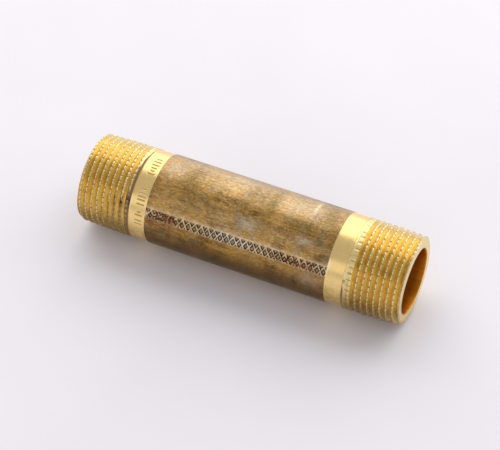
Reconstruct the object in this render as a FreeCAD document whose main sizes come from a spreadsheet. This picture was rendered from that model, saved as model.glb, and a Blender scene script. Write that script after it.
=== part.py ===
"""Threaded pipe nipple, R 3/4: one turned and threaded piece of brass tube.

Millimetres. The tube's axis lies along X, the origin is the middle of that axis and +Z is up.
The marked end is at -X, the plain end at +X. Angles round the tube are measured about X,
from +Y towards +Z. Both threads are right-hand taper pipe threads.
"""
import FreeCAD, Part
import os

import Sketcher

DOCUMENT_NAME = "pipe_nipple"
NODE_NAME = "nipple_body"
PARTS_FOLDER = "parts"
SMALLEST_CUT = 0.1

# Driving dimensions: millimetres, degrees or plain counts.
SIZES = [
    # the tube
    ("total_length", 98.0),
    ("barrel_radius", 13.2),
    ("bore_radius", 9.5),
    ("bore_chamfer", 0.25),
    # each machined end: a thread zone, then a turned collar
    ("thread_zone", 16.6),
    ("collar_width", 5.05),
    ("collar_radius", 13.0),
    ("end_chamfer", 0.55),
    ("spare_length", 5.0),
    ("tool_clearance", 1.0),
    # 3/4 taper pipe thread: 14 threads an inch, 55 degrees, taper 1 in 16 on the diameter
    ("thread_pitch", 1.8143),
    ("thread_depth", 1.162),
    ("half_flank_angle", 27.5),
    ("root_rounding", 0.249),
    ("gauge_radius", 13.2205),
    ("gauge_distance", 9.5),
    ("radius_per_length", 0.03125),
    ("full_turns", 9.0),
    ("cutter_overlap", 0.2),
    # the last turn, where the die's lead lifts the root out of the tube
    ("runout_turns", 1.0),
    ("runout_lift", 1.05),
    # where each groove starts, outside its end face, on the +Z side
    ("marked_end_lead", 1.983),
    ("plain_end_lead", 2.36),
    # marks pressed into the barrel by the jaws that held it
    ("grip_angle", 152.6),
    ("grip_depth", 0.14),
    ("grip_pitch", 1.94),
    ("grip_count", 28.0),
    ("grip_first", 25.7),
    ("grip_row_gap", 1.84),
    ("grip_row_offset", 0.53),
    ("diamond_width", 1.25),
    ("diamond_length", 2.1),
    # plain bars stamped across the collar of the marked end
    ("stamp_angle", 80.0),
    ("stamp_sweep", 120.0),
    ("stamp_count", 13.0),
    ("stamp_depth", 0.15),
    ("stamp_length", 2.3),
    ("stamp_width", 0.4),
]


def cell(alias):
    """The expression that reads one driving dimension."""
    return "Sizes." + alias


def make_sheet(document):
    """A spreadsheet with one aliased cell for each driving dimension."""
    sheet = document.addObject("Spreadsheet::Sheet", "Sizes")
    for row, (alias, value) in enumerate(SIZES, start=1):
        sheet.set("A%d" % row, alias)
        sheet.set("B%d" % row, str(value))
        sheet.setAlias("B%d" % row, alias)
    document.recompute()
    return sheet


def bind(thing, prop, expression):
    """Bind one property of an object to an expression on the sheet."""
    thing.setExpression(prop, expression)


def origin_plane(body, role):
    """The body's own origin plane with this role."""
    return next(plane for plane in body.Origin.OriginFeatures if plane.Role == role)


def new_sketch(body, name, role):
    """An empty sketch on one of the body's origin planes."""
    sketch = body.newObject("Sketcher::SketchObject", name)
    sketch.AttachmentSupport = [(origin_plane(body, role), "")]
    sketch.MapMode = "FlatFace"
    return sketch


def evaluate(sheet, expression):
    """The number that an expression on the sheet gives now."""
    return float(sheet.evalExpression(expression))


def fix_vertex(sketch, edge, label, corner):
    """Tie an edge's start point to its two coordinates, each an expression."""
    sketch.addConstraint(Sketcher.Constraint("DistanceX", -1, 1, edge, 1, corner["here"].x))
    sketch.renameConstraint(sketch.ConstraintCount - 1, label + "_x")
    bind(sketch, "Constraints." + label + "_x", corner["x"])
    sketch.addConstraint(Sketcher.Constraint("DistanceY", -1, 1, edge, 1, corner["here"].y))
    sketch.renameConstraint(sketch.ConstraintCount - 1, label + "_y")
    bind(sketch, "Constraints." + label + "_y", corner["y"])


def add_outline(sheet, sketch, label, corners, arc_edge=None, arc_radius=None):
    """A closed outline through corners, each an (x, y) pair of expressions.

    The edge numbered arc_edge is an arc of radius arc_radius that bulges towards -y.
    """
    points = []
    for x_expression, y_expression in corners:
        here = FreeCAD.Vector(evaluate(sheet, x_expression), evaluate(sheet, y_expression), 0)
        points.append({"x": x_expression, "y": y_expression, "here": here})
    edges = []
    for number, corner in enumerate(points):
        start = corner["here"]
        end = points[(number + 1) % len(points)]["here"]
        if number == arc_edge:
            radius = evaluate(sheet, arc_radius)
            middle = (start + end) * 0.5
            half_chord = (end - start).Length / 2
            rise = (radius ** 2 - half_chord ** 2) ** 0.5
            bottom = middle + FreeCAD.Vector(0, rise - radius, 0)
            shape = Part.Arc(start, bottom, end)
        else:
            shape = Part.LineSegment(start, end)
        edges.append(sketch.addGeometry(shape))
    for number, edge in enumerate(edges):
        following = edges[(number + 1) % len(edges)]
        sketch.addConstraint(Sketcher.Constraint("Coincident", edge, 2, following, 1))
        fix_vertex(sketch, edge, "%s%d" % (label, number), points[number])
    if arc_edge is not None:
        sketch.addConstraint(Sketcher.Constraint("Radius", edges[arc_edge], radius))
        sketch.renameConstraint(sketch.ConstraintCount - 1, label + "_radius")
        bind(sketch, "Constraints." + label + "_radius", arc_radius)


def cone_radius(distance):
    """Radius of the thread's crests at a distance inward from the end face."""
    return "(%s + (%s - %s) * %s)" % (
        cell("gauge_radius"),
        distance,
        cell("gauge_distance"),
        cell("radius_per_length"),
    )


def half_length():
    """Distance from the origin to each end face."""
    return "%s / 2" % cell("total_length")


def make_tube(sheet, body):
    """The tube with its two turned collars, cut over-long at both ends."""
    sketch = new_sketch(body, "tube_profile", "XY_Plane")
    end = half_length()
    spare_end = "%s + %s" % (end, cell("spare_length"))
    bore = cell("bore_radius")
    barrel = cell("barrel_radius")
    collar = cell("collar_radius")
    collar_outer = "%s - %s" % (end, cell("thread_zone"))
    collar_inner = "%s - %s" % (collar_outer, cell("collar_width"))
    half_outline = [
        (spare_end, bore),
        (spare_end, barrel),
        (collar_outer, barrel),
        (collar_outer, collar),
        (collar_inner, collar),
        (collar_inner, barrel),
    ]
    mirrored = [("-(%s)" % x, radius) for x, radius in reversed(half_outline)]
    add_outline(sheet, sketch, "tube", half_outline + mirrored)
    tube = body.newObject("PartDesign::Revolution", "tube")
    tube.Profile = (sketch, [""])
    tube.ReferenceAxis = (sketch, ["H_Axis"])
    tube.Angle = 360
    return tube


def cut_groove(sheet, body, name, side, lead, turns, slope):
    """One helical cut of the thread form, from a distance of lead outside an end face inward.

    side is -1 at the marked end and +1 at the plain end. slope is the growth of the root's
    radius for each millimetre of travel. lead may be negative, for a cut that starts inside.
    """
    sketch = new_sketch(body, name + "_profile", "XZ_Plane")
    centre = "%d * (%s + %s)" % (side, half_length(), lead)
    root = "(%s - %s)" % (cone_radius("(0 - (%s))" % lead), cell("thread_depth"))
    flank = cell("half_flank_angle")
    rounding = cell("root_rounding")
    arc_half = "%s * cos(%s)" % (rounding, flank)
    arc_end = "%s + %s * (1 - sin(%s))" % (root, rounding, flank)
    top = "%s + %s + %s" % (root, cell("thread_depth"), cell("cutter_overlap"))
    top_half = "(%s + (%s - (%s)) * tan(%s))" % (arc_half, top, arc_end, flank)
    corners = [
        ("%s - %s" % (centre, arc_half), arc_end),
        ("%s + %s" % (centre, arc_half), arc_end),
        ("%s + %s" % (centre, top_half), top),
        ("%s - %s" % (centre, top_half), top),
    ]
    add_outline(sheet, sketch, "groove", corners, arc_edge=0, arc_radius=rounding)
    groove = body.newObject("PartDesign::SubtractiveHelix", name)
    groove.Profile = (sketch, [""])
    groove.ReferenceAxis = (sketch, ["H_Axis"])
    groove.Mode = "pitch-turns-angle"
    groove.LeftHanded = False
    groove.Reversed = side > 0
    bind(groove, "Pitch", cell("thread_pitch"))
    bind(groove, "Turns", turns)
    bind(groove, "Angle", "atan(%s)" % slope)
    return groove


def cut_thread(sheet, body, end_name, side, lead):
    """The full thread of one end, then the turn in which it runs out."""
    full = cut_groove(
        sheet, body, end_name + "_thread", side, lead, cell("full_turns"), cell("radius_per_length")
    )
    runout_lead = "(%s - %s * %s)" % (lead, cell("full_turns"), cell("thread_pitch"))
    slope = "%s / %s" % (cell("runout_lift"), cell("thread_pitch"))
    runout = cut_groove(
        sheet, body, end_name + "_runout", side, runout_lead, cell("runout_turns"), slope
    )
    return [full, runout]


def finish_end(sheet, body, name, side, role):
    """Turn one end to the thread's taper, cut it to length and chamfer it outside and inside.

    role names the origin plane where the turned faces get their seam.
    """
    sketch = new_sketch(body, name + "_profile", role)
    end = half_length()
    clearance = cell("tool_clearance")
    outside = "%s + %s + %s" % (end, cell("spare_length"), clearance)
    bore = cell("bore_radius")
    barrel = cell("barrel_radius")
    inner = cell("bore_chamfer")
    outer = cell("end_chamfer")
    crest = cone_radius(outer)
    taper_length = "((%s - %s) / %s + %s)" % (
        barrel, cell("gauge_radius"), cell("radius_per_length"), cell("gauge_distance")
    )
    outline = [
        (outside, "%s - %s" % (bore, clearance)),
        ("%s - %s - %s" % (end, inner, clearance), "%s - %s" % (bore, clearance)),
        (end, "%s + %s" % (bore, inner)),
        (end, "%s - %s" % (crest, outer)),
        ("%s - %s" % (end, outer), crest),
        ("%s - %s" % (end, taper_length), barrel),
        ("%s - %s" % (end, taper_length), "%s + %s" % (barrel, clearance)),
        (outside, "%s + %s" % (barrel, clearance)),
    ]
    placed = [("%d * (%s)" % (side, x), radius) for x, radius in outline]
    add_outline(sheet, sketch, "end", placed)
    cut = body.newObject("PartDesign::Groove", name)
    cut.Profile = (sketch, [""])
    cut.ReferenceAxis = (sketch, ["H_Axis"])
    cut.Angle = 360
    return cut


def tangent_sketch(body, name, angle, depth, radius):
    """A sketch on a plane that lies depth below the tube's surface, facing out at angle."""
    sketch = new_sketch(body, name, "XY_Plane")
    sketch.AttachmentOffset = FreeCAD.Placement(
        FreeCAD.Vector(0, 0, 0), FreeCAD.Rotation(FreeCAD.Vector(1, 0, 0), 1)
    )
    height = "(%s - %s)" % (radius, depth)
    bind(sketch, "AttachmentOffset.Rotation.Angle", "%s - 90" % angle)
    bind(sketch, "AttachmentOffset.Base.y", "%s * cos(%s)" % (height, angle))
    bind(sketch, "AttachmentOffset.Base.z", "%s * sin(%s)" % (height, angle))
    return sketch


def pocket_outward(body, sketch, name, length):
    """Cut outward from a sketch that lies below the surface."""
    pocket = body.newObject("PartDesign::Pocket", name)
    pocket.Profile = (sketch, [""])
    pocket.Reversed = True
    bind(pocket, "Length", length)
    return pocket


def diamond(centre_x, centre_y):
    """The four corners of one jaw tooth's print."""
    half_width = "%s / 2" % cell("diamond_width")
    half_length_round = "%s / 2" % cell("diamond_length")
    return [
        ("%s - %s" % (centre_x, half_width), centre_y),
        (centre_x, "%s - %s" % (centre_y, half_length_round)),
        ("%s + %s" % (centre_x, half_width), centre_y),
        (centre_x, "%s + %s" % (centre_y, half_length_round)),
    ]


def press_grip_strip(sheet, body, name, angle):
    """One jaw's strip of diamond prints along the barrel: a full row and a half row beside it."""
    sketch = tangent_sketch(body, name + "_profile", angle, cell("grip_depth"), cell("barrel_radius"))
    first = "0 - %s" % cell("grip_first")
    between = "%s - %s / 2" % (first, cell("grip_pitch"))
    row = "0 - %s" % cell("grip_row_offset")
    beside = "%s + %s" % (row, cell("grip_row_gap"))
    add_outline(sheet, sketch, "full", diamond(first, row))
    add_outline(sheet, sketch, "half", diamond(between, beside))
    pocket = pocket_outward(body, sketch, name, cell("tool_clearance"))
    strip = body.newObject("PartDesign::LinearPattern", name + "_row")
    strip.Originals = [pocket]
    strip.Direction = (sketch, ["H_Axis"])
    strip.Mode = "Spacing"
    bind(strip, "Offset", cell("grip_pitch"))
    bind(strip, "Occurrences", cell("grip_count"))
    body.Tip = strip
    return [pocket, strip]


def stamp_collar(sheet, body):
    """Plain bars stamped across the marked end's collar, repeated round the tube."""
    sketch = tangent_sketch(
        body, "stamp_profile", cell("stamp_angle"), cell("stamp_depth"), cell("collar_radius")
    )
    centre = "0 - (%s - %s - %s / 2)" % (half_length(), cell("thread_zone"), cell("collar_width"))
    half_bar = "%s / 2" % cell("stamp_length")
    half_width = "%s / 2" % cell("stamp_width")
    bar = [
        ("%s - %s" % (centre, half_bar), "0 - %s" % half_width),
        ("%s + %s" % (centre, half_bar), "0 - %s" % half_width),
        ("%s + %s" % (centre, half_bar), half_width),
        ("%s - %s" % (centre, half_bar), half_width),
    ]
    add_outline(sheet, sketch, "bar", bar)
    pocket = pocket_outward(body, sketch, "stamp", cell("tool_clearance"))
    ring = body.newObject("PartDesign::PolarPattern", "stamp_ring")
    ring.Originals = [pocket]
    ring.Axis = (origin_plane(body, "X_Axis"), [""])
    bind(ring, "Angle", cell("stamp_sweep"))
    bind(ring, "Occurrences", cell("stamp_count"))
    body.Tip = ring
    return [pocket, ring]


def make_nipple(document, sheet):
    """The whole nipple: one piece of brass."""
    body = document.addObject("PartDesign::Body", "NippleBody")
    body.Label = NODE_NAME
    body.Placement = FreeCAD.Placement()
    steps = [make_tube(sheet, body)]
    steps += cut_thread(sheet, body, "marked_end", -1, cell("marked_end_lead"))
    steps += cut_thread(sheet, body, "plain_end", 1, cell("plain_end_lead"))
    steps.append(finish_end(sheet, body, "marked_end_finish", -1, "XY_Plane"))
    steps.append(finish_end(sheet, body, "plain_end_finish", 1, "XZ_Plane"))
    steps += press_grip_strip(sheet, body, "front_grip", cell("grip_angle"))
    steps += press_grip_strip(sheet, body, "rear_grip", "(%s + 180)" % cell("grip_angle"))
    steps += stamp_collar(sheet, body)
    document.recompute()
    check_cuts(steps)
    return body


def check_cuts(steps):
    """Every step after the first has to take some metal away, in cubic millimetres."""
    for before, after in zip(steps, steps[1:]):
        removed = before.Shape.Volume - after.Shape.Volume
        print("%-22s removes %8.2f mm3" % (after.Name, removed))
        if removed < SMALLEST_CUT:
            raise RuntimeError("%s cuts nothing" % after.Name)


def check_document(document):
    """No object may have failed in the recompute."""
    for thing in document.Objects:
        bad = [state for state in thing.State if state in ("Invalid", "Error")]
        if bad:
            raise RuntimeError("%s is %s" % (thing.Name, ", ".join(bad)))


def write_part(body):
    """Write one sub-part's STEP file, named after its label."""
    shape = body.Shape
    if shape.isNull() or not shape.isValid():
        raise RuntimeError("%s has no valid shape" % body.Label)
    os.makedirs(PARTS_FOLDER, exist_ok=True)
    shape.exportStep(os.path.join(PARTS_FOLDER, body.Label + ".step"))
    print("%s: %.1f mm3, %d faces, %d solid" % (
        body.Label, shape.Volume, len(shape.Faces), len(shape.Solids)
    ))


document = FreeCAD.newDocument(DOCUMENT_NAME)
sheet = make_sheet(document)
nipple = make_nipple(document, sheet)
check_document(document)
write_part(nipple)
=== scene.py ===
"""Looks of the threaded pipe nipple: one closed brass skin in place of the CAD's nipple_body.

The skin is worked out in millimetres and handed to Blender in metres, in the CAD's frame: the
tube's axis along X, the marked end at -X, the plain end at +X and +Z up. Angles round the tube
run from +Y towards +Z, in degrees. A "depth" along an end is the distance inward from its face.
"""

import math

import bpy
import numpy as np
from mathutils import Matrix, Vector


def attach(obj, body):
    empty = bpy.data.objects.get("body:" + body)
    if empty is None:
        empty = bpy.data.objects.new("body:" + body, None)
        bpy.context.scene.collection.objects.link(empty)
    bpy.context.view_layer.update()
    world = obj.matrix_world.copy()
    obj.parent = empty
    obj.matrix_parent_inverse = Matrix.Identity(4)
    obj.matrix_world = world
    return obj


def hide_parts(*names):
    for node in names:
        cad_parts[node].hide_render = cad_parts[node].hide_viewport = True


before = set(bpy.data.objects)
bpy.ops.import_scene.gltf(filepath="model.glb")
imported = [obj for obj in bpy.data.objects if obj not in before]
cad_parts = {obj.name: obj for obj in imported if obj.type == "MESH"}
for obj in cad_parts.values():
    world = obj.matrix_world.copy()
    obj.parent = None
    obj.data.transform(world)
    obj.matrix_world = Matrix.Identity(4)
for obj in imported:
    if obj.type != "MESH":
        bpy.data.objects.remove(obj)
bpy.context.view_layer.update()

MM = 0.001
TAU_DEG = 360.0

# The tube and its ends, as in the CAD.
HALF_LENGTH = 49.0
BARREL_R = 13.2
COLLAR_R = 13.0
BORE_R = 9.5
BORE_CHAMFER = 0.25
THREAD_ZONE = 16.6
COLLAR_WIDTH = 5.05
END_CHAMFER = 0.55
BARREL_HALF = HALF_LENGTH - THREAD_ZONE - COLLAR_WIDTH

# The 3/4 taper pipe thread. Its last turn's crest is skimmed on one side of the plain end.
PITCH = 1.8143
THREAD_DEPTH = 1.162
FLANK = math.radians(27.5)
ROOT_ROUNDING = 0.249
GAUGE_R = 13.2205
GAUGE_DEPTH = 9.5
TAPER = 1 / 32
FULL_TURNS = 9
RUNOUT_LIFT = 1.05
CREST_ROUNDING = 0.07
SKIMMED_ANGLE = 52
ARC_HALF = ROOT_ROUNDING * math.cos(FLANK)
ARC_RISE = ROOT_ROUNDING * (1 - math.sin(FLANK))

# Places across a groove, from the crest at its right to the crest at its left, and masks there.
GROOVE_PLACES = np.array([-1, -0.88, -0.58, -0.28, 0, 0.28, 0.58, 0.88, 1])
ROOT_ACROSS = (0, 0, 0.08, 0.5, 1, 1, 1, 0.6, 0)
# Painted shade along one crest edge of each groove and a painted glint on the flank next to it.
FLANK_SHADE_ACROSS = (0, 0, 0, 0, 0, 0, 0, 0.6, 1)
FLANK_GLINT_ACROSS = (0, 0, 0, 0, 0, 0.2, 1, 0.6, 0)
# Rings of the mesh in one turn: the places above, two on the lands and one between turns.
RINGS_PER_TURN = len(GROOVE_PLACES) + 3
MIN_EDGE, MAX_EDGE = 0.08, 0.8

# Each end: which way it faces, how far outside its face the groove starts, and its die chatter.
ENDS = {
    "marked": {"side": -1, "lead": 1.983, "notches": 52, "notch_angle": 77.4, "notch_end": 15.75},
    "plain": {"side": 1, "lead": 2.36, "notches": 46, "notch_angle": 67.7, "notch_end": 15.8},
}
COLUMNS_PER_NOTCH = 8
NOTCH_DEPTH = 0.24

# The strips of diamond prints left by the jaws.
GRIP_ANGLE = 152.6
GRIP_ROW_ANGLE = 154.9
GRIP_ROW_GAP = 6.8
GRIP_PITCH = 1.94
GRIP_COUNT = 28
GRIP_FIRST = -25.7
DIAMOND_HALF_X = 0.82
DIAMOND_HALF_ARC = 1.30
GRIP_HALF_WIDTH = 8.4
GRIP_PIT_DEPTH = 0.26
GRIP_FINE_SPANS = ((143, 162), (323, 342))
# Where the tube slipped in the jaw and its prints are ragged: X, half length and strength.
GRIP_SLIPS = ((-21.5, 4.5, 1.0), (18.5, 4.0, 0.6))

# The bars stamped on the marked collar, in groups from one angle to another.
STAMP_SEED = 5
STAMP_X = -29.4
STAMP_DEPTH = 0.15
STAMP_EDGE = 0.16
STAMP_HALF_WIDTH = 0.18
STAMP_HALF_LENGTHS = (1.15, 1.15, 0.85, 0.6)
STAMP_SPACINGS = (4.4, 5.0, 5.8)
STAMP_GROUPS = ((79, 109), (126, 151), (156, 163), (168, 180), (184, 202))
STAMP_FINE_SPAN = (76, 205)

# Material slots of the nipple.
THREADED, TURNED, TARNISHED, BORE = range(4)

# Multipliers of the noise's hash.
HASH_AXES = np.array([374761393, 668265263, 2147483647])
HASH_MIX = 1274126177


# ---------------------------------------------------------------- smooth random fields

def value_noise(points, scale, seed):
    """Smooth noise between -1 and 1 at points, an (n, 3) array, with features of about scale."""
    grid = np.asarray(points, float) / scale
    base = np.floor(grid).astype(np.int64)
    part = grid - base
    part = part * part * (3 - 2 * part)
    total = np.zeros(len(grid))
    for corner in range(8):
        step = np.array([corner & 1, (corner >> 1) & 1, (corner >> 2) & 1])
        cell = base + step
        mixed = cell @ HASH_AXES + seed * HASH_MIX
        mixed = (mixed ^ (mixed >> 13)) * HASH_MIX
        mixed = (mixed ^ (mixed >> 16)) & 0xFFFF
        weight = np.prod(np.where(step == 1, part, 1 - part), axis=1)
        total += weight * (mixed / 32767.5 - 1)
    return total


def smooth_step(low, high, value):
    """0 below low, 1 above high and an even curve between."""
    part = np.clip((value - low) / (high - low), 0, 1)
    return part * part * (3 - 2 * part)


def angle_from(angle, centre):
    """Signed difference between two angles, between -180 and 180 degrees."""
    return (angle - centre + 180) % TAU_DEG - 180


def on_tube(along, angle):
    """Points round a tube of the barrel's radius, for noise without a seam."""
    turn = np.radians(angle)
    across = np.stack([along, np.cos(turn) * BARREL_R, np.sin(turn) * BARREL_R], axis=-1)
    return across.reshape(-1, 3)


def unrolled(along, angle):
    """Points on the tube's unrolled surface, for noise that is read away from its seam."""
    return np.stack([along, np.radians(angle) * BARREL_R, along * 0], axis=-1).reshape(-1, 3)


# ---------------------------------------------------------------- the skin's mesh

class Skin:
    """Vertices, faces and painted masks of the nipple's surface, zone by zone.

    Zones share mask names. The pit mask is painted shade along one edge of each thread groove,
    the stamped bars on the marked collar and the dirty walls of the prints on the barrel. "notch"
    is the chatter on the threads and the worn floors of the prints. "pale" is a painted glint on
    the threads' flanks, a painted highlight on a collar's corner and bare patches on the barrel.
    "shade"
    is painted shade in every zone: a dark band along the middle and the darker side towards the
    ground.
    """

    MASKS = (
        "root", "raw", "pit", "ridge", "notch", "rust",
        "dark", "pale", "gold", "olive", "haze", "shade",
    )

    def __init__(self):
        self.x, self.r, self.angle = [], [], []
        self.masks = {name: [] for name in self.MASKS}
        self.faces, self.slots = [], []
        self.count = 0

    def add(self, x, r, angle, **masks):
        """Add vertices from arrays of one shape and return their numbers in that shape."""
        x, r, angle = np.broadcast_arrays(x, r, angle)
        for store, values in ((self.x, x), (self.r, r), (self.angle, angle)):
            store.append(np.array(values, float).ravel())
        for name in self.MASKS:
            values = np.broadcast_to(masks.get(name, 0.0), x.shape)
            self.masks[name].append(np.array(values, float).ravel())
        numbers = np.arange(self.count, self.count + x.size).reshape(x.shape)
        self.count += x.size
        return numbers

    def quads(self, near, far, near_next, far_next, slot):
        """Faces from four arrays of corners; corners that coincide give triangles or nothing."""
        corners = np.stack([a.ravel() for a in (near, near_next, far_next, far)], axis=1)
        for quad in corners:
            face = [int(quad[i]) for i in range(4) if quad[i] != quad[i - 1]]
            if len(face) >= 3 and len(set(face)) == len(face):
                self.faces.append(face)
                self.slots.append(slot)

    def sheet(self, rings, slot):
        """Faces between rings, an array of vertex numbers whose rows go once round the tube."""
        after = np.roll(rings, -1, axis=1)
        self.quads(rings[:-1], rings[1:], after[:-1], after[1:], slot)

    def zip(self, near, far, slot):
        """Triangles between two rings with their own columns, each sorted by angle."""
        angles = np.concatenate(self.angle)
        near_angle = np.append(angles[near] % TAU_DEG, angles[near[0]] % TAU_DEG + TAU_DEG)
        far_angle = np.append(angles[far] % TAU_DEG, angles[far[0]] % TAU_DEG + TAU_DEG)
        i = j = 0
        while i < len(near) or j < len(far):
            step_near = j == len(far) or (i < len(near) and near_angle[i + 1] <= far_angle[j + 1])
            here, there = int(near[i % len(near)]), int(far[j % len(far)])
            if step_near:
                i += 1
                self.faces.append([here, int(near[i % len(near)]), there])
            else:
                j += 1
                self.faces.append([here, int(far[j % len(far)]), there])
            self.slots.append(slot)

    def by_angle(self, ring):
        """The ring's vertex numbers in order of angle."""
        angles = np.concatenate(self.angle)[ring] % TAU_DEG
        return ring[np.argsort(angles)]


def cone_radius(depth):
    """Radius of the thread's crests at a depth from the end face."""
    return GAUGE_R + (depth - GAUGE_DEPTH) * TAPER


def blank_radius(depth):
    """Radius of the metal before the thread is cut."""
    chamfered = cone_radius(END_CHAMFER) - (END_CHAMFER - depth)
    tapered = np.minimum(BARREL_R, cone_radius(depth))
    return np.where(depth < END_CHAMFER, chamfered, tapered)


def root_radius(centre, turn):
    """Radius of the groove's root, which lifts out of the tube in the last turn."""
    runout_start = centre - (turn - FULL_TURNS) * PITCH
    full = cone_radius(centre) - THREAD_DEPTH
    lifting = cone_radius(runout_start) - THREAD_DEPTH + (turn - FULL_TURNS) * RUNOUT_LIFT
    return np.where(turn <= FULL_TURNS, full, lifting)


def groove_half_width(height):
    """Half the groove's width at a height above its root."""
    height = np.maximum(height, 0.0)
    low = np.minimum(height, ARC_RISE)
    in_arc = np.sqrt(np.maximum(ROOT_ROUNDING ** 2 - (ROOT_ROUNDING - low) ** 2, 0))
    return np.where(height < ARC_RISE, in_arc, ARC_HALF + (height - ARC_RISE) * math.tan(FLANK))


def groove_profile(offset):
    """Height of the groove's wall above its root at an axial offset from its centre."""
    offset = np.abs(offset)
    in_root = np.minimum(offset, ARC_HALF)
    in_arc = ROOT_ROUNDING - np.sqrt(np.maximum(ROOT_ROUNDING ** 2 - in_root ** 2, 0))
    return np.where(offset < ARC_HALF, in_arc, ARC_RISE + (offset - ARC_HALF) / math.tan(FLANK))


def soft_min(a, b, rounding):
    """The smaller of two values, rounded where they cross."""
    return (a + b - np.sqrt((a - b) ** 2 + rounding ** 2)) / 2


def chatter(end, angle, turn_place):
    """Shape and strength of the die's axial notches across the crests, both between 0 and 1."""
    period = TAU_DEG / end["notches"]
    phase = (angle - end["notch_angle"]) / period
    nearest = np.round(phase)
    one_each = [nearest % end["notches"], np.floor(turn_place), np.full_like(angle, 7.5)]
    place = np.stack(one_each, axis=-1).reshape(-1, 3)
    strength = 0.72 + 0.28 * value_noise(place, 0.83, 3 + end["side"]).reshape(angle.shape)
    slip = 0.22 * value_noise(place, 0.83, 60 + end["side"]).reshape(angle.shape)
    off = np.abs((phase - nearest) * math.radians(period) * BARREL_R + slip)
    pulse = smooth_step(0.40, 0.12, off)
    return pulse, strength


def groove_edge(centre, turn):
    """Height of the groove's wall at a turn, and half its width at the crest."""
    height = np.minimum(BARREL_R, cone_radius(centre)) - root_radius(centre, turn)
    return height, np.clip(groove_half_width(height), MIN_EDGE, MAX_EDGE)


def skimmed_side(angle):
    """1 on the side of the plain end whose last crest is skimmed down to the collar."""
    return smooth_step(97, 90, np.abs(angle_from(angle, SKIMMED_ANGLE)))


def underside(angle, ragged, start, stop):
    """The lower front side: 0 up to the angle start, 1 from stop on and 0 again on the far side."""
    return smooth_step(start, stop, angle + ragged) * smooth_step(300, 250, angle)


def thread_shade(end, angle, below, ragged):
    """Painted shade: a dark band of painted reflection along the thread's middle and darker brass
    towards the ground.
    """
    painted_shade = smooth_step(101, 112, angle + 6 * ragged)
    painted_shade = painted_shade * smooth_step(141.0, 136.0, angle + 4 * ragged)
    painted_shade = painted_shade * (0.12 + 0.88 * smooth_step(114, 134, angle + 8 * ragged))
    painted_shade = painted_shade * (0.8 + 0.5 * ragged)
    painted_shade = np.clip(painted_shade * smooth_step(0.1, 0.5, below), 0, 1) * 0.5
    # Painted shade towards the ground, starting at another angle on each end.
    start, depth = (152, 1.5) if end["side"] > 0 else (168, 1.15)
    return np.maximum(painted_shade, depth * underside(angle, 4 * ragged, start, 200))


def thread_surface(end, depth, angle):
    """Radius and masks of a threaded end's surface."""
    plain = end["side"] > 0
    share = ((-end["side"] * (angle - 90)) / TAU_DEG) % 1
    turn_place = (depth + end["lead"]) / PITCH - share
    pulse, strength = chatter(end, angle, turn_place + 0.5)
    around = on_tube(depth, angle)
    wear = value_noise(around, 0.5, 11).reshape(depth.shape)
    ragged = value_noise(around * [1, 0.6, 0.6], 0.9, 31).reshape(depth.shape)
    fade = smooth_step(-0.2, 0.5, depth)
    fade = fade * smooth_step(end["notch_end"], end["notch_end"] - 0.12, depth)
    if plain:
        fade = fade * (1 - 0.2 * smooth_step(13.9, 14.3, depth))
    surface = blank_radius(depth) - NOTCH_DEPTH * pulse * strength * fade
    surface = surface - 0.03 * np.maximum(wear, 0)
    if plain:
        skimmed = skimmed_side(angle) * smooth_step(15.75, 15.95, depth)
        surface = surface - (BARREL_R - COLLAR_R - 0.01) * skimmed
    across = np.full(depth.shape, -1.0)
    cut = np.zeros(depth.shape)
    for turn in range(FULL_TURNS + 1):
        place = turn + share
        centre = -end["lead"] + PITCH * place
        wall = root_radius(centre, place) + groove_profile(depth - centre)
        surface = soft_min(surface, wall, CREST_ROUNDING)
        height, edge = groove_edge(centre, place)
        near = np.abs(depth - centre) < PITCH / 2 - 0.001
        across = np.where(near, np.clip(-end["side"] * (depth - centre) / edge, -1, 1), across)
        cut = np.where(near, np.clip(height / 0.6, 0, 1), cut)
    below = np.clip((blank_radius(depth) - surface) / THREAD_DEPTH, 0, 1)
    notch = pulse * strength * fade * np.clip(1.5 - below * 3, 0, 1)
    if plain:
        shoulder = np.exp(-((depth - end["notch_end"]) / 0.09) ** 2) * skimmed_side(angle)
        notch = np.maximum(notch, 0.62 * shoulder * (0.8 + 0.4 * ragged))
    # Painted shade along one crest edge of each groove and a painted glint on the flank next to it.
    flank_shade = cut * np.interp(across, GROOVE_PLACES, FLANK_SHADE_ACROSS)
    flank_glint = cut * np.interp(across, GROOVE_PLACES, FLANK_GLINT_ACROSS)
    return surface, {
        "root": cut * np.interp(across, GROOVE_PLACES, ROOT_ACROSS),
        "pit": flank_shade * np.clip(0.8 + 0.5 * ragged, 0, 1),
        "pale": flank_glint * np.clip(0.7 - 0.6 * ragged, 0, 1),
        "notch": notch,
        "shade": thread_shade(end, angle, below, ragged),
    }


def ring_depths(end, share):
    """Depths of the mesh's rings along one column: every turn's groove edges, flanks and root."""
    rows = []
    for turn in range(FULL_TURNS + 2):
        place = turn + share
        centre = -end["lead"] + PITCH * place
        edge = groove_edge(centre, place)[1]
        land = PITCH / 2 - edge
        rows.append(centre - PITCH / 2)
        rows.append(centre - edge - 0.4 * land)
        rows += [centre + edge * part for part in GROOVE_PLACES]
        rows.append(centre + edge + 0.4 * land)
    return np.array(rows)


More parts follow.
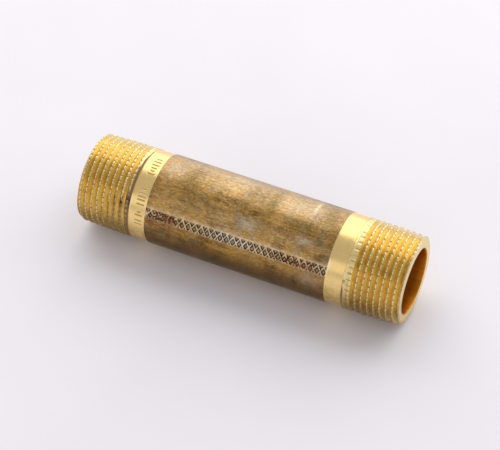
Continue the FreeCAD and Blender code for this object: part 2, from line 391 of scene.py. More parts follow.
def helical_sheet(skin, end, low_ring, high_ring, low, high, share, angle):
    """Faces of a threaded zone whose rings follow the helix, between two plain rings."""
    depth = ring_depths(end, share)
    angle = np.broadcast_to(angle, depth.shape)
    inside = (depth > low + 0.004) & (depth < high - 0.004)
    surface, masks = thread_surface(end, depth, angle)
    masks.update(raw_skin(end, depth, angle, surface))
    keep = {name: values[inside] for name, values in masks.items()}
    x = end["side"] * (HALF_LENGTH - depth)
    numbers = np.where(depth < (low + high) / 2, low_ring[None, :], high_ring[None, :])
    numbers[inside] = skin.add(x[inside], surface[inside], angle[inside], **keep)
    numbers = np.vstack([low_ring, numbers, high_ring])
    skin.quads(numbers[:-1, :-1], numbers[1:, :-1], numbers[:-1, 1:], numbers[1:, 1:], THREADED)
    # Round the seam, each row meets the row one turn further along the helix.
    last = np.concatenate([np.full(RINGS_PER_TURN, low_ring[-1]), numbers[:, -1]])
    first = np.concatenate([numbers[:, 0], np.full(RINGS_PER_TURN, high_ring[0])])
    skin.quads(last[:-1], last[1:], first[:-1], first[1:], THREADED)


def raw_skin(end, depth, angle, surface):
    """Where the thread zone still carries the tube's own tarnished skin."""
    edge = value_noise(unrolled(depth * 2, angle), 1.1, 23).reshape(depth.shape)
    below = blank_radius(depth) - surface
    on_top = np.clip(1.5 - below / 0.12, 0, 1)
    near_top = np.clip(1.5 - below / 0.32, 0, 1)
    if end["side"] < 0:
        width = 0.95 * smooth_step(52, 112, angle) * smooth_step(290, 240, angle)
        ring_start = THREAD_ZONE - width
        ring = smooth_step(ring_start - 0.05, ring_start + 0.12, depth)
        ring = ring * smooth_step(50, 66, angle)
        reach = 16.0 - 7.5 * smooth_step(132, 165, angle) * smooth_step(262, 215, angle)
        crests = smooth_step(reach - 0.6, reach + 0.6, depth + edge * 0.9)
        crests = crests * smooth_step(128, 138, angle) * smooth_step(285, 250, angle) * 0.95
        grip = np.exp(-(angle_from(angle, 149) / 5.5) ** 2) * smooth_step(9.5, 12.5, depth)
        rust = np.clip(1.4 * grip, 0, 1) * near_top * smooth_step(-0.6, -0.25, edge)
    else:
        width = 0.42 * smooth_step(146, 176, angle) * smooth_step(330, 290, angle)
        ring_start = THREAD_ZONE - width
        ring = smooth_step(ring_start - 0.04, ring_start + 0.08, depth)
        ring = ring * smooth_step(146, 170, angle)
        crests = 0 * depth
        grip = np.exp(-(angle_from(angle, 156) / 3.5) ** 2) * smooth_step(15.2, 15.9, depth)
        rust = grip * near_top * smooth_step(0.0, 0.4, edge) * 0.6
    raw = np.clip(np.maximum(ring * (angle < 300), crests) * on_top, 0, 1)
    return {"raw": raw, "rust": rust}


def build_end(skin, end):
    """One threaded end, from its face to its collar. Returns its first and last rings."""
    columns = end["notches"] * COLUMNS_PER_NOTCH
    notch_share = ((-end["side"] * (end["notch_angle"] - 90)) / TAU_DEG) % 1
    share = (np.arange(columns) + (notch_share * columns) % 1) / columns
    angle = (90 - end["side"] * TAU_DEG * share) % TAU_DEG
    rings = {}
    zones = (("face", 0.0), ("chamfer", END_CHAMFER), ("collar", THREAD_ZONE))
    for name, place in zones:
        depth = np.full(columns, place)
        radius, masks = thread_surface(end, depth, angle)
        masks.update(raw_skin(end, depth, angle, radius))
        rings[name] = skin.add(end["side"] * (HALF_LENGTH - place), radius, angle, **masks)
    for (near, low), (far, high) in zip(zones, zones[1:]):
        helical_sheet(skin, end, rings[near], rings[far], low, high, share, angle)
    return rings["face"], rings["collar"]


# ---------------------------------------------------------------- collars, barrel and bore

def stamp_marks():
    """Plain separate bars stamped across the marked collar: angle and half length of each."""
    marks = []
    draw = np.random.default_rng(STAMP_SEED)
    for start, stop in STAMP_GROUPS:
        angle = start + 0.8
        while angle < stop:
            marks.append((angle, draw.choice(STAMP_HALF_LENGTHS)))
            angle += draw.choice(STAMP_SPACINGS)
    return marks


def stamp_depth(x, angle):
    """Depth of the stamped marks at points of the marked collar."""
    depth = np.zeros_like(x)
    for centre_angle, half_length in stamp_marks():
        arc = np.radians(angle_from(angle, centre_angle)) * COLLAR_R
        gap = np.maximum(np.abs(x - STAMP_X) - half_length, np.abs(arc) - STAMP_HALF_WIDTH)
        depth = np.maximum(depth, STAMP_DEPTH * np.clip(0.5 - gap / STAMP_EDGE, 0, 1))
    return depth


def fine_angles(fine_spans, fine_step, coarse_step):
    """Column angles round the tube, closer together inside the fine spans."""
    angles, angle = [], 0.0
    while angle < TAU_DEG - coarse_step * 0.4:
        angles.append(angle)
        fine = any(low <= angle < high for low, high in fine_spans)
        angle += fine_step if fine else coarse_step
    return np.array(angles)


def build_collar(skin, end):
    """One turned collar, from the thread's side to the barrel's side."""
    marked = end["side"] < 0
    angle = fine_angles([STAMP_FINE_SPAN], 0.4, 2.4) if marked else fine_angles([], 1, 1.5)
    outer = THREAD_ZONE
    inner = THREAD_ZONE + COLLAR_WIDTH
    middle = np.linspace(outer + 0.2, inner - 0.2, 34 if marked else 12)
    depth = np.concatenate([[outer + 0.01, outer + 0.1], middle, [inner - 0.12, inner - 0.01]])
    radius = np.full(len(depth), COLLAR_R)
    radius[:2] = BARREL_R - 0.03, COLLAR_R + 0.02
    radius[-2:] = COLLAR_R + 0.02, BARREL_R - 0.05
    depth, angle = np.meshgrid(depth, angle, indexing="ij")
    radius = np.repeat(radius[:, None], angle.shape[1], axis=1)
    x = end["side"] * (HALF_LENGTH - depth)
    masks = {}
    if marked:
        pressed = stamp_depth(x, angle)
        radius = radius - pressed
        masks["pit"] = pressed / STAMP_DEPTH
    ragged = value_noise(unrolled(x * 0.5, angle), 1.2, 51).reshape(x.shape)
    rough_angle = angle + 2 * ragged
    # A dark band of painted reflection round the collar's middle.
    painted_shade = smooth_step(102, 109, rough_angle) * smooth_step(139, 135, rough_angle)
    painted_shade = painted_shade * np.clip(0.6 + 0.6 * ragged, 0, 1) * 0.4
    # Painted shade towards the ground.
    start, strength = (160, 1.3) if marked else (152, 1.9)
    masks["shade"] = np.maximum(painted_shade, strength * underside(angle, 3 * ragged, start, 198))
    # A painted highlight along the collar's edge that faces -X.
    left_edge = -HALF_LENGTH + outer if marked else BARREL_HALF
    lit = smooth_step(133, 138, angle) * smooth_step(163, 150, angle)
    masks["pale"] = smooth_step(0.34, 0.1, x - left_edge) * lit
    return skin.add(x, radius, angle, **masks)


def grip_prints(x, angle):
    """Share of full depth of the jaw prints, with masks of their dirty walls and worn floors."""
    depth = np.zeros_like(x)
    dirty = np.zeros_like(x)
    worn = np.zeros_like(x)
    slips = sum(share * np.exp(-((x - place) / half) ** 2) for place, half, share in GRIP_SLIPS)
    ragged = value_noise(unrolled(x, angle), 0.75, 41).reshape(x.shape) * (0.12 + 0.42 * slips)
    for turn in (0, 180):
        off = angle_from(angle, GRIP_ANGLE + turn)
        window = np.sqrt(np.clip(1 - (off / GRIP_HALF_WIDTH) ** 2, 0, 1))
        for row in (-1, 0, 1):
            middle = GRIP_ROW_ANGLE + turn + row * GRIP_ROW_GAP
            arc = np.radians(angle_from(angle, middle)) * BARREL_R
            shift = GRIP_PITCH / 2 * abs(row)
            number = np.round((x - GRIP_FIRST + shift) / GRIP_PITCH)
            number = np.clip(number, 0, GRIP_COUNT - 1 + abs(row))
            along = x - (GRIP_FIRST - shift + number * GRIP_PITCH)
            pyramid = 1 - np.abs(along) / DIAMOND_HALF_X - np.abs(arc) / DIAMOND_HALF_ARC
            pyramid = pyramid + ragged * (pyramid > -0.15)
            pressed = smooth_step(7.6, 5.0, off)
            if row < 0:
                # The jaw's upper row bit with the lower halves of its teeth only.
                pressed = pressed * smooth_step(-0.55, 0.35, arc)
            depth = np.maximum(depth, window * pressed * smooth_step(0, 0.46, pyramid))
            edge = smooth_step(0.0, 0.14, pyramid) * smooth_step(0.60, 0.36, pyramid)
            dirty = np.maximum(dirty, pressed * edge)
            worn = np.maximum(worn, pressed * smooth_step(0.36, 0.56, pyramid))
    return depth, dirty, worn


def grip_window(angle):
    """1 in the middle of a jaw's strip, falling to 0 at its edges."""
    window = np.zeros_like(angle)
    for turn in (0, 180):
        off = angle_from(angle, GRIP_ANGLE + turn)
        rubbed = 0.35 * smooth_step(-12.0, -9.0, off) + 0.65 * smooth_step(-8.6, -6.0, off)
        rubbed = rubbed * smooth_step(GRIP_HALF_WIDTH, GRIP_HALF_WIDTH - 3, off)
        window = np.maximum(window, rubbed)
    return window


# Tarnish and painted light on the barrel: mask, X, angle, half length, half angle and strength.
# Where patches of one mask overlap, the strongest counts.
PATCHES = [
    ("rust", -20.0, 154.5, 3.8, 6.0, 1.0),
    ("rust", 20.5, 154.5, 3.6, 3.5, 0.75),
    ("rust", -25.0, 164.0, 2.6, 5.5, 1.0),
    ("rust", -22.0, 163.5, 3.4, 3.0, 0.8),
    ("rust", -0.6, 130.0, 1.2, 3.5, 0.6),
    ("rust", 15.0, 126.0, 3.2, 4.0, 0.55),
    ("rust", 15.2, 178.0, 1.3, 7.0, 0.6),
    ("rust", -10.5, 178.0, 2.0, 3.0, 0.5),
    ("dark", 10.8, 181.0, 2.0, 9.0, 1.0),
    ("dark", -14.3, 179.0, 1.2, 8.0, 0.9),
    ("dark", 15.5, 184.0, 4.0, 8.0, 0.6),
    ("dark", 18.4, 183.0, 1.3, 12.0, 1.0),
    ("dark", -13.0, 174.0, 3.0, 8.0, 0.7),
    ("dark", -21.5, 172.0, 3.0, 6.0, 0.7),
    ("dark", -12.3, 177.0, 0.8, 7.0, 0.9),
    ("dark", -20.0, 170.0, 1.2, 4.0, 0.8),
    ("olive", 23.5, 84.0, 2.6, 26.0, 0.75),
    ("olive", 6.8, 92.0, 2.0, 26.0, 0.8),
    ("olive", -17.5, 98.0, 2.8, 20.0, 0.9),
    ("olive", -3.5, 104.0, 3.5, 10.0, 0.6),
    ("olive", 16.5, 108.0, 5.0, 8.0, 0.7),
    ("olive", 0.9, 88.0, 2.6, 18.0, 0.5),
    ("pale", 18.5, 74.0, 0.6, 14.0, 1.0),
    ("pale", 1.8, 127.5, 2.8, 7.0, 0.85),
    ("pale", 18.9, 126.0, 2.6, 4.5, 0.9),
    ("pale", 12.0, 84.0, 4.0, 14.0, 0.3),
    ("pale", -1.5, 152.5, 8.0, 5.0, 1.0),
    ("pale", -5.0, 70.0, 5.0, 20.0, 0.3),
    ("gold", -22.5, 127.0, 4.5, 11.0, 1.0),
    ("gold", -5.2, 84.0, 3.0, 14.0, 0.7),
    ("gold", -5.5, 130.0, 4.0, 8.0, 1.0),
    ("gold", -5.6, 113.0, 4.0, 8.0, 1.0),
    ("gold", -23.0, 167.0, 3.0, 6.0, 1.0),
    ("gold", -11.0, 131.0, 6.0, 6.0, 0.6),
    ("gold", 12.5, 129.5, 5.0, 6.5, 1.0),
    ("gold", 10.0, 114.0, 4.0, 7.0, 0.6),
    ("gold", 12.5, 92.0, 3.0, 14.0, 0.4),
    ("gold", -3.5, 169.0, 6.0, 6.0, 0.4),
    ("gold", -16.5, 169.0, 4.0, 6.0, 0.2),
    ("haze", 22.8, 174.0, 3.4, 13.0, 0.9),
    # These two bands run the whole length: painted sheen along the top.
    ("haze", 0.0, 62.0, 60.0, 18.0, 1.0),
    ("haze", 0.0, 84.0, 60.0, 16.0, 0.55),
    ("haze", -23.0, 86.0, 5.0, 16.0, 1.0),
    # A band of painted light the whole length of the barrel.
    ("haze", 0.0, 130.0, 60.0, 9.0, 0.32),
    ("haze", -5.5, 130.0, 4.0, 7.0, 0.75),
    ("haze", 13.0, 129.5, 4.0, 6.0, 0.6),
    ("haze", 18.0, 82.0, 8.0, 20.0, 1.0),
    # Painted shade: a band round the tube at 108 degrees and the darker side towards the ground.
    ("shade", 0.0, 196.0, 80.0, 24.0, 1.0),
    ("shade", 13.0, 177.0, 9.0, 13.0, 0.55),
    ("shade", -9.5, 184.0, 6.0, 11.0, 0.6),
    ("shade", 0.0, 108.0, 80.0, 5.0, 0.2),
    ("shade", 9.0, 166.0, 9.0, 6.0, 0.3),
    ("shade", 24.5, 167.0, 4.0, 6.0, 0.25),
]


def barrel_patches(x, angle):
    """Painted masks of the barrel's tarnish, painted shade and painted sheen."""
    masks = {patch[0]: np.zeros_like(x) for patch in PATCHES}
    for name, centre_x, centre_angle, half_x, half_angle, strength in PATCHES:
        off = ((x - centre_x) / half_x) ** 2 + (angle_from(angle, centre_angle) / half_angle) ** 2
        masks[name] = np.maximum(masks[name], strength * np.exp(-off))
    return masks


def build_barrel(skin):
    """The plain barrel between the collars, with its jaw prints."""
    angle = fine_angles(GRIP_FINE_SPANS, 0.45, 2.0)
    ends = [-BARREL_HALF, -BARREL_HALF + 0.04, BARREL_HALF - 0.04, BARREL_HALF]
    drop = [0.06, 0.0, 0.0, 0.03]
    middle = np.linspace(-BARREL_HALF + 0.2, BARREL_HALF - 0.2, 8 * GRIP_COUNT + 1)
    x = np.concatenate([ends[:2], middle, ends[2:]])
    lower = np.concatenate([drop[:2], np.zeros(len(middle)), drop[2:]])
    x, angle = np.meshgrid(x, angle, indexing="ij")
    prints, dirty, worn = grip_prints(x, angle)
    around = on_tube(x, angle)
    dents = value_noise(around * [0.6, 1, 1], 2.4, 5).reshape(x.shape)
    uneven = value_noise(around, 1.3, 9).reshape(x.shape)
    prints = prints * (0.8 + 0.2 * uneven)
    dirty = np.clip(dirty * (1.05 + 0.3 * uneven), 0, 1)
    radius = BARREL_R - lower[:, None] - GRIP_PIT_DEPTH * prints - 0.008 * (1 + dents)
    ridge = grip_window(angle) * np.clip(1 - 3 * prints, 0, 1) * (0.7 + 0.3 * uneven)
    masks = {"pit": dirty, "notch": worn, "ridge": ridge} | barrel_patches(x, angle)
    return skin.add(x, radius, angle, **masks)


def build_bore(skin):
    """Rings of the bore through the tube, from the plain face's inner edge to the marked one's."""
    angle = np.arange(0, TAU_DEG, 2.0)
    rim = BORE_R + BORE_CHAMFER
    face_r = [rim + 1.4, rim + 0.03, rim - 0.02]
    face_in = [0.0, 0.0, 0.03]
    wall_in = BORE_CHAMFER + np.array([-0.03, 0.05, 2.0, 5.0, 10.0])
    wall_r = np.array([BORE_R + 0.02, BORE_R, BORE_R, BORE_R, BORE_R])
    depth = np.concatenate([face_in, wall_in])
    radius = np.concatenate([face_r, wall_r])
    middle = np.linspace(-32, 32, 17)
    plain_x = HALF_LENGTH - depth
    x = np.concatenate([plain_x, middle[::-1], -plain_x[::-1]])
    radius = np.concatenate([radius, np.full(len(middle), BORE_R), radius[::-1]])
    return skin.add(x[:, None], radius[:, None], angle[None, :])


def build_skin():
    """The whole skin, zone by zone in order along its profile."""
    skin = Skin()
    marked_face, marked_collar = build_end(skin, ENDS["marked"])
    collar_a = build_collar(skin, ENDS["marked"])
    barrel = build_barrel(skin)
    collar_b = build_collar(skin, ENDS["plain"])[::-1]
    plain_face, plain_collar = build_end(skin, ENDS["plain"])
    bore = build_bore(skin)
    skin.sheet(collar_a, TURNED)
    skin.sheet(barrel, TARNISHED)
    skin.sheet(collar_b, TURNED)
    skin.sheet(bore[:3], THREADED)
    skin.sheet(bore[2:-2], BORE)
    skin.sheet(bore[-3:], THREADED)
    skin.zip(skin.by_angle(bore[-1]), skin.by_angle(marked_face), THREADED)
    skin.zip(skin.by_angle(marked_collar), collar_a[0], TURNED)
    skin.zip(collar_a[-1], barrel[0], TURNED)
    skin.zip(barrel[-1], collar_b[0], TURNED)
    skin.zip(collar_b[-1], skin.by_angle(plain_collar), TURNED)
    skin.zip(skin.by_angle(plain_face), skin.by_angle(bore[0]), THREADED)
    return skin


# Edges sharper than this are shaded as creases.
SHARP_ANGLE = math.radians(38)


def mesh_from(skin, name):
    """A Blender mesh from the skin, in metres, with its masks as point attributes."""
    x = np.concatenate(skin.x)
    r = np.concatenate(skin.r)
    angle = np.radians(np.concatenate(skin.angle))
    points = np.stack([x, r * np.cos(angle), r * np.sin(angle)], axis=1) * MM
    mesh = bpy.data.meshes.new(name)
    mesh.from_pydata(points.tolist(), [], skin.faces)
    mesh.update()
    for mask in Skin.MASKS:
        attribute = mesh.attributes.new(mask, "FLOAT", "POINT")
        attribute.data.foreach_set("value", np.concatenate(skin.masks[mask]).astype(np.float32))
    mesh.polygons.foreach_set("material_index", np.array(skin.slots, np.int32))
    mesh.polygons.foreach_set("use_smooth", np.ones(len(skin.faces), bool))
    mesh.set_sharp_from_angle(angle=SHARP_ANGLE)
    return mesh


# ---------------------------------------------------------------- materials

class Nodes:
    """A short way to write a material's node tree."""

    def __init__(self, name):
        self.material = bpy.data.materials.new(name)
        self.material.use_nodes = True
        self.tree = self.material.node_tree
        self.tree.nodes.clear()

    def new(self, kind, **settings):
        node = self.tree.nodes.new(kind)
        for name, value in settings.items():
            setattr(node, name, value)
        return node

    def link(self, source, target):
        self.tree.links.new(source, target)

    def put(self, value, target):
        """Link a socket, or set a plain value."""
        if isinstance(value, bpy.types.NodeSocket):
            self.link(value, target)
        else:
            target.default_value = value

    def mask(self, name, strength=None):
        """A painted mask, times a strength if one is given."""
        value = self.new("ShaderNodeAttribute", attribute_name=name).outputs["Fac"]
        return value if strength is None else self.math("MULTIPLY", value, strength)

    def broken(self, name, pattern):
        """A painted mask broken up by a pattern, between 0 and 1."""
        return self.math("MULTIPLY", self.mask(name), pattern, clamp=True)

    def math(self, operation, a, b=0.0, clamp=False):
        node = self.new("ShaderNodeMath", operation=operation, use_clamp=clamp)
        self.put(a, node.inputs[0])
        self.put(b, node.inputs[1])
        return node.outputs[0]

    def ramp(self, value, low, high, to_low=0.0, to_high=1.0):
        """A smooth change from to_low to to_high as the value goes from low to high."""
        node = self.new("ShaderNodeMapRange", interpolation_type="SMOOTHSTEP")
        self.put(value, node.inputs["Value"])
        limits = {"From Min": low, "From Max": high, "To Min": to_low, "To Max": to_high}
        for name, number in limits.items():
            node.inputs[name].default_value = number
        return node.outputs["Result"]

    def mix(self, share, a, b, blend="MIX"):
        """Mix two colours. The node's colour sockets are its inputs 6 and 7 and its output 2."""
        node = self.new("ShaderNodeMix", data_type="RGBA", blend_type=blend)
        self.put(share, node.inputs[0])
        self.put(a, node.inputs[6])
        self.put(b, node.inputs[7])
        return node.outputs[2]

    def blend(self, share, a, b):
        """Mix two numbers."""
        node = self.new("ShaderNodeMix", data_type="FLOAT")
        self.put(share, node.inputs[0])
        self.put(a, node.inputs[2])
        self.put(b, node.inputs[3])
        return node.outputs[0]

    def noise(self, stretch, scale, detail=3.0, roughness=0.55):
        """Noise between 0 and 1 over the object's own coordinates, stretched along X, Y and Z."""
        place = self.new("ShaderNodeTexCoord").outputs["Object"]
        mapping = self.new("ShaderNodeMapping")
        self.link(place, mapping.inputs["Vector"])
        mapping.inputs["Scale"].default_value = stretch
        node = self.new("ShaderNodeTexNoise")
        self.link(mapping.outputs["Vector"], node.inputs["Vector"])
        node.inputs["Scale"].default_value = scale
        node.inputs["Detail"].default_value = detail
        node.inputs["Roughness"].default_value = roughness
        return node.outputs["Fac"]

    def bump(self, height, distance, normal=None):
        """Bumps of a height in metres, on top of an earlier normal if there is one."""
        node = self.new("ShaderNodeBump")
        node.inputs["Strength"].default_value = 1.0
        node.inputs["Distance"].default_value = distance
        self.link(height, node.inputs["Height"])
        if normal is not None:
            self.link(normal, node.inputs["Normal"])
        return node.outputs["Normal"]

    def finish(self, colour, metallic, roughness, normal):
        """Close the tree with a shader and return the material."""
        shader = self.new("ShaderNodeBsdfPrincipled")
        self.put(colour, shader.inputs["Base Color"])
        self.put(metallic, shader.inputs["Metallic"])
        self.put(roughness, shader.inputs["Roughness"])
        self.link(normal, shader.inputs["Normal"])
        output = self.new("ShaderNodeOutputMaterial")
        self.link(shader.outputs["BSDF"], output.inputs["Surface"])
        return self.material


# Colours are linear red, green, blue and alpha.

# Threads.
BRIGHT_BRASS = (0.87, 0.58, 0.17, 1)
PALE_BRASS = (0.90, 0.73, 0.33, 1)
ROOT_BRASS = (0.77, 0.50, 0.13, 1)
TAN_BRASS = (0.91, 0.69, 0.31, 1)
ORANGE_BRASS = (0.84, 0.45, 0.11, 1)
GREEN_BRASS = (0.58, 0.45, 0.12, 1)
SPECK_BROWN = (0.42, 0.27, 0.07, 1)
# Painted glint and painted shade on the threads' flanks.
PAINTED_GLINT_BRASS = (0.95, 0.86, 0.40, 1)
FLANK_SHADE_BROWN = (0.26, 0.16, 0.05, 1)
# Painted shade on the threads.
PAINTED_SHADE_BROWN = (0.33, 0.18, 0.032, 1)
NOTCH_BRASS = (0.30, 0.205, 0.06, 1)
RAW_BROWN = (0.21, 0.12, 0.052, 1)
RUST = (0.10, 0.02, 0.012, 1)

# Collars.
COLLAR_LIGHT = (0.93, 0.68, 0.28, 1)
COLLAR_DEEP = (0.89, 0.62, 0.23, 1)
# Painted shade on the collars.
COLLAR_PAINTED_SHADE = (0.68, 0.49, 0.17, 1)
COLLAR_PAINTED_HIGHLIGHT = (1.0, 0.94, 0.74, 1)
STAMP_BROWN = (0.30, 0.21, 0.06, 1)

# Barrel: its mill finish, its patches, its prints and its rust.
BAND_DARK = (0.235, 0.13, 0.026, 1)
BAND_LIGHT = (0.49, 0.285, 0.066, 1)
CLOUD = (0.56, 0.325, 0.095, 1)
STREAK_LIGHT = (0.60, 0.38, 0.13, 1)
STREAK_DARK = (0.14, 0.085, 0.03, 1)
BLOTCH = (0.16, 0.105, 0.032, 1)
WARM = (0.63, 0.32, 0.065, 1)
COOL = (0.40, 0.33, 0.18, 1)
SCRATCH_LIGHT = (0.66, 0.40, 0.15, 1)
SCRATCH_DARK = (0.13, 0.08, 0.035, 1)
GRAIN_DARK = (0.66, 0.63, 0.60, 1)
GRAIN_LIGHT = (0.84, 0.60, 0.30, 1)
# Pinkish haze, and painted sheen.
HAZE_AND_SHEEN = (0.60, 0.465, 0.32, 1)
OLIVE = (0.23, 0.16, 0.05, 1)
GOLD = (0.76, 0.46, 0.14, 1)
PALE_PATCH = (0.74, 0.66, 0.46, 1)
SOOT = (0.07, 0.055, 0.026, 1)
# Painted shade of the barrel.
GROUND_SHADE = (0.10, 0.05, 0.012, 1)
RIDGE = (0.95, 0.76, 0.49, 1)
RIDGE_BRIGHT = (1.0, 0.95, 0.82, 1)
WORN_FLOOR = (0.43, 0.26, 0.13, 1)
PIT_WALL = (0.025, 0.012, 0.008, 1)
RUST_DARK = (0.13, 0.03, 0.012, 1)
RUST_ORANGE = (0.55, 0.21, 0.045, 1)
RUST_MAROON = (0.13, 0.012, 0.010, 1)

# Bore and floor.
BORE_DARK = (0.55, 0.20, 0.012, 1)
BORE_LIGHT = (0.66, 0.26, 0.022, 1)
FLOOR_DARK = (0.90, 0.88, 0.915, 1)
FLOOR_LIGHT = (0.935, 0.915, 0.945, 1)


# The stretch of a noise that looks the same in every direction.
EVEN = (1, 1, 1)


def threaded_brass():
    """Bright die-cut brass: pale crests, deeper roots, leftovers of the tube's skin, a painted
    glint and painted shade.
    """
    n = Nodes("brass_threaded")
    rings = n.noise((1, 0.05, 0.05), 5200, 2)
    cloud = n.noise(EVEN, 420, 4)
    flecks = n.noise((0.8, 1, 1), 1500, 4, 0.7)
    specks = n.noise(EVEN, 2100, 3, 0.7)
    crest = n.mix(n.ramp(flecks, 0.42, 0.60), PALE_BRASS, TAN_BRASS)
    groove = n.mix(n.ramp(cloud, 0.44, 0.60), ROOT_BRASS, BRIGHT_BRASS)
    groove = n.mix(n.ramp(flecks, 0.50, 0.62, 0.0, 0.7), groove, ORANGE_BRASS)
    groove = n.mix(n.ramp(flecks, 0.48, 0.38, 0.0, 0.6), groove, GREEN_BRASS)
    colour = n.mix(n.ramp(n.mask("root"), 0.1, 0.8), crest, groove)
    colour = n.mix(n.ramp(specks, 0.56, 0.66, 0.0, 0.5), colour, SPECK_BROWN)
    # Painted shade: a dark band along the middle and the side towards the ground.
    colour = n.mix(n.mask("shade", 0.45), colour, PAINTED_SHADE_BROWN)
    # Painted glint and painted shade on one flank of each groove.
    colour = n.mix(n.mask("pale", 0.8), colour, PAINTED_GLINT_BRASS)
    colour = n.mix(n.mask("pit", 0.85), colour, FLANK_SHADE_BROWN)
    colour = n.mix(n.ramp(n.mask("notch"), 0.25, 0.8, 0.0, 0.88), colour, NOTCH_BRASS)
    colour = n.mix(n.mask("raw", 0.92), colour, RAW_BROWN)
    colour = n.mix(n.mask("rust"), colour, RUST)
    dull = n.math("MAXIMUM", n.mask("raw"), n.mask("rust"))
    metallic = n.blend(dull, 1.0, 0.8)
    roughness = n.blend(dull, n.ramp(cloud, 0.3, 0.7, 0.24, 0.36), 0.55)
    normal = n.bump(rings, 0.000006)
    normal = n.bump(n.noise(EVEN, 3600, 3), 0.000016, normal)
    normal = n.bump(flecks, 0.00006, normal)
    return n.finish(colour, metallic, roughness, normal)


def turned_brass():
    """The collars: finely turned, bright, with stamped bars, a painted highlight on one corner and
    painted shade.
    """
    n = Nodes("brass_turned")
    rings = n.noise((1, 0.01, 0.01), 9000, 2)
    cloud = n.noise(EVEN, 300, 3)
    mottle = n.noise((0.6, 1, 1), 900, 4, 0.7)
    colour = n.mix(n.ramp(cloud, 0.3, 0.8, 0, 0.5), COLLAR_LIGHT, COLLAR_DEEP)
    # Painted shade, broken up by the mottle.
    painted_shade = n.mask("shade", n.ramp(mottle, 0.36, 0.6, 0.1, 0.55))
    colour = n.mix(painted_shade, colour, COLLAR_PAINTED_SHADE)
    # Painted highlight on the collar's corner.
    colour = n.mix(n.mask("pale", 0.85), colour, COLLAR_PAINTED_HIGHLIGHT)
    colour = n.mix(n.ramp(n.mask("pit"), 0.2, 0.9, 0, 0.65), colour, STAMP_BROWN)
    roughness = n.blend(n.mask("pit"), n.ramp(rings, 0.3, 0.7, 0.20, 0.32), 0.5)
    normal = n.bump(rings, 0.000004)
    normal = n.bump(mottle, 0.000012, normal)
    return n.finish(colour, 1.0, roughness, normal)


def mill_finish(n, bands, streaks, crisp):
    """The barrel's brown skin before its patches: bands, clouds, streaks and scratches."""
    clouds = n.noise((0.5, 1, 1), 170, 5, 0.62)
    blotch = n.noise((0.6, 1, 1), 300, 5, 0.65)
    warm = n.noise((0.9, 0.6, 0.6), 420, 5, 0.65)
    cool = n.noise((1.1, 0.5, 0.5), 330, 5, 0.65)
    colour = n.mix(n.ramp(bands, 0.40, 0.60), BAND_DARK, BAND_LIGHT)
    colour = n.mix(n.ramp(clouds, 0.46, 0.66, 0, 0.85), colour, CLOUD)
    colour = n.mix(n.ramp(streaks, 0.50, 0.72, 0, 0.5), colour, STREAK_LIGHT)
    colour = n.mix(n.ramp(streaks, 0.46, 0.30, 0, 0.45), colour, STREAK_DARK)
    colour = n.mix(n.ramp(blotch, 0.52, 0.74, 0, 0.45), colour, BLOTCH)
    colour = n.mix(n.ramp(warm, 0.51, 0.60, 0, 0.55), colour, WARM)
    colour = n.mix(n.ramp(cool, 0.52, 0.61, 0, 0.5), colour, COOL)
    colour = n.mix(n.ramp(crisp, 0.52, 0.60, 0, 0.42), colour, SCRATCH_LIGHT)
    return n.mix(n.ramp(crisp, 0.46, 0.38, 0, 0.30), colour, SCRATCH_DARK)


def tarnished_brass():
    """The barrel: mill finish, patches of tarnish, jaw prints and rust, painted sheen and painted
    shade.
    """
    n = Nodes("brass_tarnished")
    bands = n.noise((1, 0.12, 0.12), 190, 3)
    streaks = n.noise((0.09, 1, 1), 1300, 4)
    fine = n.noise((0.12, 1, 1), 5200, 3)
    grain = n.noise((0.45, 1, 1), 2300, 4, 0.8)
    crisp = n.noise((0.22, 1, 1), 760, 6, 0.72)
    speckle = n.noise((0.8, 1, 1), 1300, 4, 0.75)
    colour = mill_finish(n, bands, streaks, crisp)
    # Pinkish haze in patches, and painted sheen along the top.
    colour = n.mix(n.mask("haze", 0.68), colour, HAZE_AND_SHEEN)
    olive = n.broken("olive", n.ramp(bands, 0.36, 0.52, 0.35, 0.9))
    colour = n.mix(olive, colour, OLIVE)
    gold = n.broken("gold", n.ramp(crisp, 0.40, 0.56))
    colour = n.mix(gold, colour, GOLD)
    pale = n.broken("pale", n.ramp(n.noise((0.4, 1, 1), 700, 4, 0.7), 0.28, 0.5))
    colour = n.mix(pale, colour, PALE_PATCH)
    dark = n.broken("dark", n.ramp(n.noise(EVEN, 500, 5, 0.7), 0.3, 0.58))
    colour = n.mix(dark, colour, SOOT)
    colour = n.mix(n.mask("ridge", 0.94), colour, n.mix(n.mask("pale"), RIDGE, RIDGE_BRIGHT))
    colour = n.mix(n.mask("notch", 0.8), colour, WORN_FLOOR)
    colour = n.mix(n.ramp(n.mask("pit"), 0.15, 0.65, 0.0, 0.97), colour, PIT_WALL)
    rust = n.broken("rust", n.ramp(speckle, 0.36, 0.5))
    rust_colour = n.mix(n.ramp(speckle, 0.46, 0.6), RUST_DARK, RUST_ORANGE)
    sunk = n.math("MAXIMUM", n.mask("pit"), n.mask("notch"))
    sunk = n.math("MULTIPLY", sunk, n.ramp(speckle, 0.60, 0.50))
    colour = n.mix(rust, colour, n.mix(sunk, rust_colour, RUST_MAROON))
    colour = n.mix(n.ramp(grain, 0.36, 0.62, 1.0, 0.0), colour, GRAIN_DARK, "MULTIPLY")
    colour = n.mix(n.ramp(grain, 0.52, 0.66, 0.0, 0.3), colour, GRAIN_LIGHT)
    # Painted shade: a band round the tube and the darker side towards the ground.
    colour = n.mix(n.broken("shade", 0.8), colour, GROUND_SHADE)
    dull = n.math("MAXIMUM", dark, rust)
    roughness = n.blend(dull, n.ramp(fine, 0.3, 0.7, 0.34, 0.50), 0.6)
    metallic = n.blend(dull, 1.0, 0.6)
    normal = n.bump(streaks, 0.00003)
    normal = n.bump(grain, 0.00004, normal)
    normal = n.bump(fine, 0.000008, normal)
    return n.finish(colour, metallic, roughness, normal)


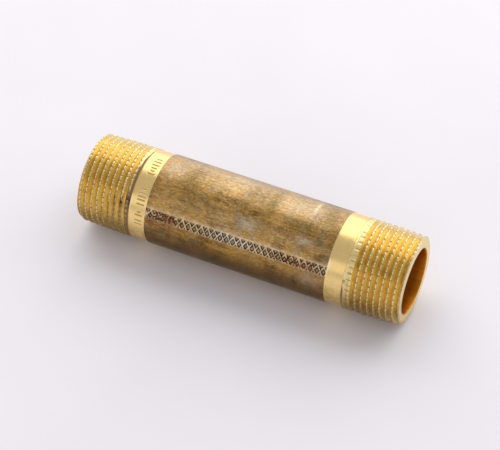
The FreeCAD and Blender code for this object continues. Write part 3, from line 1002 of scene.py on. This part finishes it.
def bore_brass():
    """The bore's drawn surface, duller and deeper in colour."""
    n = Nodes("brass_bore")
    streaks = n.noise((0.05, 1, 1), 900, 3)
    colour = n.mix(n.ramp(streaks, 0.3, 0.7), BORE_DARK, BORE_LIGHT)
    return n.finish(colour, 1.0, 0.42, n.bump(streaks, 0.00002))


# ---------------------------------------------------------------- stage, light and camera

FLOOR_REACH = 3.0

# Area lights, aimed at the nipple: place, size along and across, power in watts.
LIGHTS = {
    "overhead": ((-0.1, 0.642, 0.512), 2.4, 1.2, 10.9),
    "front_fill": ((-0.1, -0.85, 0.36), 1.6, 0.40, 0.85),
}
WORLD_COLOUR = (0.98, 0.96, 1.0, 1)
WORLD_STRENGTH = 0.57

# The photograph's camera: place in metres, degrees down and round, lens and sensor in mm.
CAMERA_PLACE = (0.16433, -0.36656, 0.43565)
CAMERA_DOWN = 47.25
CAMERA_TURN = 24.24
CAMERA_LENS = 151.66
CAMERA_SENSOR = 36.0
CAMERA_SHIFT = 0.001


def floor_material():
    """Matt and pale, with hardly any pattern."""
    n = Nodes("stage_floor")
    colour = n.mix(n.ramp(n.noise(EVEN, 20, 2), 0.2, 0.8), FLOOR_DARK, FLOOR_LIGHT)
    return n.finish(colour, 0.0, 0.75, n.bump(n.noise(EVEN, 30, 2), 0.0001))


def add_floor():
    """A wide pale floor that the nipple's barrel rests on."""
    height = -BARREL_R * MM
    signs = ((-1, -1), (1, -1), (1, 1), (-1, 1))
    corners = [(x * FLOOR_REACH, y * FLOOR_REACH, height) for x, y in signs]
    mesh = bpy.data.meshes.new("floor")
    mesh.from_pydata(corners, [], [(0, 1, 2, 3)])
    floor = bpy.data.objects.new("floor", mesh)
    bpy.context.scene.collection.objects.link(floor)
    mesh.materials.append(floor_material())


def add_area(name, place, size_x, size_y, power):
    """A rectangular soft light aimed at the nipple."""
    light = bpy.data.lights.new(name, "AREA")
    light.shape = "RECTANGLE"
    light.size = size_x
    light.size_y = size_y
    light.energy = power
    holder = bpy.data.objects.new(name, light)
    holder.location = place
    holder.rotation_euler = (-Vector(place)).to_track_quat("-Z", "Y").to_euler()
    bpy.context.scene.collection.objects.link(holder)


def add_lights():
    """The two area lights and an even, weak light from all round."""
    for name, (place, size_x, size_y, power) in LIGHTS.items():
        add_area(name, place, size_x, size_y, power)
    world = bpy.data.worlds.new("studio")
    bpy.context.scene.world = world
    world.use_nodes = True
    background = world.node_tree.nodes["Background"]
    background.inputs["Color"].default_value = WORLD_COLOUR
    background.inputs["Strength"].default_value = WORLD_STRENGTH


def add_camera():
    """The photograph's view: from above and in front, with the plain end nearer."""
    camera = bpy.data.cameras.new("camera")
    camera.sensor_width = CAMERA_SENSOR
    camera.lens = CAMERA_LENS
    camera.clip_start = 0.01
    camera.shift_x = CAMERA_SHIFT
    holder = bpy.data.objects.new("camera", camera)
    holder.location = CAMERA_PLACE
    holder.rotation_euler = (math.radians(90 - CAMERA_DOWN), 0, math.radians(CAMERA_TURN))
    bpy.context.scene.collection.objects.link(holder)
    bpy.context.scene.camera = holder


skin = build_skin()
mesh = mesh_from(skin, "nipple")
for make in (threaded_brass, turned_brass, tarnished_brass, bore_brass):
    mesh.materials.append(make())
nipple = bpy.data.objects.new("nipple", mesh)
bpy.context.scene.collection.objects.link(nipple)
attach(nipple, "root")
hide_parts("nipple_body")

add_floor()
add_lights()
add_camera()
bpy.context.scene.view_settings.view_transform = "Standard"

bpy.context.view_layer.update()
